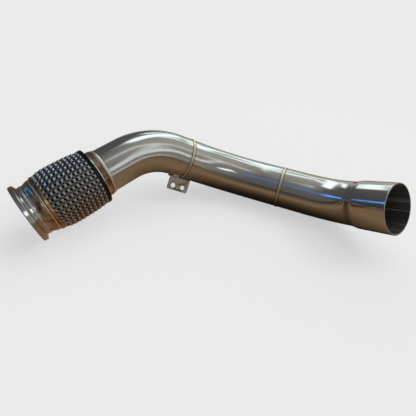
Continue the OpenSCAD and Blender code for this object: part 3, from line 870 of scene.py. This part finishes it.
def fillet_bead(name, side, node):
    """A straight fillet beside the bracket's foot: a half-round crown between the tube and the plate's
    edge, with puddles along it and both ends drawn to a point."""
    half = FOOT_DEPTH / 2
    leg = 3.6 * MM
    first = -PLATE_SHIFT - PLATE_WIDTH / 2 + 3 * MM
    length = -BEAD_WIDTH / 2 - 2 * MM - first
    on_plate = np.array([TUBE_R + 0.7 * PLATE_T, half - 0.1 * MM])
    outer_y = half + leg
    on_tube = np.array([math.sqrt(TUBE_R ** 2 - outer_y ** 2), outer_y])
    middle, spread = (on_plate + on_tube) / 2, (on_plate - on_tube) / 2
    out = np.array([spread[1], -spread[0]])
    out *= (1 if out[0] > 0 else -1)
    z = np.linspace(0, 1, 160)[:, None]
    a = np.linspace(0, 2 * np.pi, 20, endpoint=False)[None, :]
    wave = ripple_wave(length / (2.2 * MM) * z + 0.25 * np.cos(a) ** 2)
    size = np.clip(np.minimum(z, 1 - z) * length / (2.2 * MM), 0.02, 1) ** 0.5
    crown = 0.42 * (0.85 + 0.15 * wave)
    xy = middle + size[..., None] * (
        np.cos(a)[..., None] * spread + (np.sin(a) * np.where(np.sin(a) > 0, crown, 0.4))[..., None] * out)
    local = np.stack([xy[..., 0], side * xy[..., 1], first + length * z + 0 * a], -1)
    frames = np.repeat(BRACKET, z.size, 0)
    edge = np.abs(np.cos(a)) * 0.8 + 0 * z
    piece = Piece(name).grid(placed(frames, local), edge=edge, ripple=(1 - wave) ** 2)
    return piece.made(bead_finish, "weld_bead", [node], "pipe")


cut_plate()
fillet_bead("bracket_fillet_front", -1, "bracket_weld_front")
fillet_bead("bracket_fillet_back", 1, "bracket_weld_back")


# ---- floor, light and camera ----

PAPER = 0.83
PAPER_COLOUR = (0.60, 0.60, 0.60)
PIPE_MIDDLE = (0.28, 0.1)
NEAR, FAR = 0.6, 1.0
CEILING = 1.2
floor_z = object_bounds()[0].z


def level_card(name, corner, far_corner, z, finish_made):
    """A level rectangle of the stage, drawn in place."""
    (x0, y0), (x1, y1) = corner, far_corner
    mesh = bpy.data.meshes.new(name)
    mesh.from_pydata([(x0, y0, z), (x1, y0, z), (x1, y1, z), (x0, y1, z)], [], [(0, 1, 2, 3)])
    mesh.materials.append(finish_made)
    obj = bpy.data.objects.new(name, mesh)
    bpy.context.scene.collection.objects.link(obj)
    return obj


def floor_finish():
    """Pale paper that keeps the shadows. To the camera it also glows by PAPER less the light that
    falls on it where nothing stands, so that it is evenly pale; further out it is plain."""
    material, t = finish("pale_floor")
    place = t.place()
    x, y = place.part(0), place.part(1)
    away = ((x - PIPE_MIDDLE[0]) ** 2 + (y - PIPE_MIDDLE[1]) ** 2) ** 0.5
    seen = t.seen()
    lit = [c[0] + c[1] * x + c[2] * y + c[3] * x * x + c[4] * x * y + c[5] * y * y for c in FLOOR_LIGHT]
    glow = t.node("ShaderNodeCombineColor", {}, dict(enumerate(PAPER - part for part in lit)))
    paper = t.node("ShaderNodeBsdfDiffuse", {}, {"Color": PAPER_COLOUR})
    lift = t.node("ShaderNodeEmission", {}, {"Color": t.mixed(seen, (0, 0, 0), glow), "Strength": 1.0})
    near = t.node("ShaderNodeAddShader", {}, {0: paper, 1: lift})
    plain = t.node("ShaderNodeEmission", {}, {"Color": (PAPER, PAPER, PAPER), "Strength": 1.0})
    both = t.node("ShaderNodeMixShader", {}, {0: away.between(NEAR, FAR) * seen, 1: near, 2: plain})
    t.node("ShaderNodeOutputMaterial", {}, {"Surface": both})
    return material


def table_reflection():
    """A glowing card that the metal reflects as the table: warm brown on both sides of the pipe, and black
    below it as a painted shadow, by the distance from a line on the floor under the middle and outlet tubes."""
    material, t = finish("table_reflection")
    place = t.place()
    aside = (0.25 - place.part(0)) * 0.385 + (0.165 - place.part(1)) * 0.923
    # Painted shadow: black near the line under the pipe, warm brown further off.
    colour = t.ramp(
        abs(aside) * 2.0, (0.0, (0.012, 0.008, 0.006)), (0.05, (0.03, 0.02, 0.012)),
        (0.12, (0.13, 0.08, 0.042)), (0.24, (0.28, 0.185, 0.11)), (0.5, (0.27, 0.17, 0.10)),
        (1.0, (0.15, 0.115, 0.075)))
    t.node("ShaderNodeOutputMaterial", {}, {
        "Surface": t.node("ShaderNodeEmission", {}, {"Color": colour, "Strength": 1.0})})
    return material


def ceiling_glow():
    """What the metal reflects overhead: softboxes with soft, uneven edges on a ceiling that is grey on
    the right and dark on the left. A softbox is a strip: middle, length and width, heading,
    softness, colour."""
    material, t = finish("ceiling_glow")
    place = t.place()
    wander = t.noise(place, 2.3, 2) - 0.5
    x = place.part(0) + wander * 0.08
    y = place.part(1) + (t.noise(place, 1.7, 2) - 0.5) * 0.08

    def strip(middle, size, heading, soft):
        c, s = math.cos(math.radians(heading)), math.sin(math.radians(heading))
        along = abs((x - middle[0]) * c + (y - middle[1]) * s)
        across = abs((y - middle[1]) * c - (x - middle[0]) * s)
        return (size[0] / 2 - along).between(-soft, soft) * (size[1] / 2 - across).between(-soft, soft)

    colour = t.ramp(
        x * 0.25 + 0.5, (0.0, (0.09, 0.09, 0.10)), (0.42, (0.13, 0.13, 0.135)), (0.53, (0.28, 0.28, 0.27)),
        (0.65, (0.46, 0.45, 0.42)), (0.9, (0.55, 0.53, 0.49)))
    colour = t.mixed((0.15 - y).between(0, 1.1) * 0.7, colour, (0.17, 0.17, 0.165))
    for middle, size, heading, soft, glow in SOFTBOXES:
        colour = t.mixed(strip(middle, size, heading, soft), colour, glow)
    t.node("ShaderNodeOutputMaterial", {}, {
        "Surface": t.node("ShaderNodeEmission", {}, {"Color": colour, "Strength": 1.0})})
    return material


def only_in_mirrors(obj):
    """A card that the metal reflects and that nothing else meets."""
    obj.visible_camera = obj.visible_diffuse = obj.visible_shadow = False
    obj.visible_transmission = obj.visible_volume_scatter = False
    return obj


WHITE, PALE, BRIGHT = (1.7, 2.05, 2.1), (1.0, 1.08, 1.06), (1.9, 2.2, 2.2)
BLUE, DIM_BLUE = (0.20, 1.05, 2.9), (0.12, 0.34, 0.95)
SOFTBOXES = (
    ((-2.3, 0.30), (3.8, 0.26), -27, 0.11, BLUE), ((-0.35, -0.66), (1.3, 0.16), -27, 0.10, DIM_BLUE),
    ((2.0, -1.45), (1.6, 0.35), -38, 0.15, PALE), ((0.75, -1.45), (0.9, 0.24), -52, 0.10, BRIGHT),
    ((0.55, 1.40), (2.2, 0.40), 62, 0.10, WHITE),
    ((0.76, 0.98), (0.6, 0.18), 32, 0.16, WHITE), ((1.28, 2.0), (2.2, 0.22), 88, 0.08, WHITE),
    ((0.85, -0.12), (1.15, 0.10), 4, 0.10, PALE), ((1.12, -0.55), (1.1, 0.14), -55, 0.12, PALE),
    ((0.45, 2.3), (1.7, 0.36), 52, 0.10, WHITE))
# The light on the bare floor, for red, green and blue: shares of 1, x, y, x squared, xy and y squared
FLOOR_LIGHT = (
    (0.2549, 0.0933, 0.0770, -0.0181, -0.0107, -0.0541), (0.2512, 0.0934, 0.0769, -0.0180, -0.0107, -0.0540),
    (0.2386, 0.0933, 0.0768, -0.0183, -0.0107, -0.0539))

level_card("pale_floor", (-8, -8), (8, 8), floor_z, floor_finish())
# A glowing card seen only in the metal: a painted reflection of a table, with a painted shadow under the
# pipe.
only_in_mirrors(level_card("table_reflection", (-3, -3), (3, 3), floor_z + 0.1 * MM, table_reflection()))
only_in_mirrors(level_card("ceiling_glow", (-6, -5), (6, 6), CEILING, ceiling_glow()))


def softbox(name, middle, size, heading, radiance):
    """An area lamp of even radiance that hangs level: power is radiance times pi times its area. It
    lights the floor, and the metal mirrors the ceiling card instead."""
    data = bpy.data.lights.new(name, "AREA")
    data.shape, data.size, data.size_y = "RECTANGLE", size[0], size[1]
    data.energy = radiance * math.pi * size[0] * size[1]
    obj = bpy.data.objects.new(name, data)
    obj.location = (*middle, CEILING - 0.01)
    obj.rotation_euler = (0, 0, math.radians(heading))
    obj.visible_camera = obj.visible_glossy = False
    bpy.context.scene.collection.objects.link(obj)
    return obj


softbox("long_softbox", (0.75, 1.1), (2.4, 1.0), 55, 0.6)
softbox("right_softbox", (1.6, 0.2), (0.7, 0.7), 0, 2.9)

world = bpy.data.worlds.new("studio")
bpy.context.scene.world = world
world.use_nodes = True
w = Tree(world.node_tree)
direction = w.node("ShaderNodeTexCoord", {}, {}, "Generated")
to_the_right = direction.part(0) * 0.5 + direction.part(1) * 0.16 + 0.5
surround = w.ramp(
    to_the_right, (0.0, (0.05, 0.05, 0.055)), (0.35, (0.12, 0.12, 0.12)), (0.5, (0.22, 0.21, 0.19)),
    (0.62, (0.34, 0.33, 0.30)), (0.78, (0.60, 0.59, 0.54)), (1.0, (0.65, 0.63, 0.58)))
shown = w.mixed(w.seen(), surround, (PAPER, PAPER, PAPER))
background = w.node("ShaderNodeBackground", {}, {"Color": shown, "Strength": 1.0})
w.node("ShaderNodeOutputWorld", {}, {"Surface": background})

# The photograph's camera, solved on the pipe's outline: its place in millimetres and where it looks
CAMERA_PLACE = Vector((238.08, -342.67, 298.09)) * MM
CAMERA_ROLL = math.radians(5.32)
forward = Vector((0.06408, 0.83681, -0.54372)).normalized()
level_right = forward.cross(Vector((0, 0, 1))).normalized()
level_up = level_right.cross(forward)
right = level_right * math.cos(CAMERA_ROLL) + level_up * math.sin(CAMERA_ROLL)
up = right.cross(forward)

camera_data = bpy.data.cameras.new("camera")
camera_data.sensor_width, camera_data.lens, camera_data.shift_y = 36, 25.30, -0.0634
camera_data.clip_start, camera_data.clip_end = 0.01, 50
camera = bpy.data.objects.new("camera", camera_data)
bpy.context.scene.collection.objects.link(camera)
looking = Matrix((right, up, -forward)).transposed().to_4x4()
camera.matrix_world = Matrix.Translation(CAMERA_PLACE) @ looking
bpy.context.scene.camera = camera

bpy.context.scene.view_settings.view_transform = "Standard"
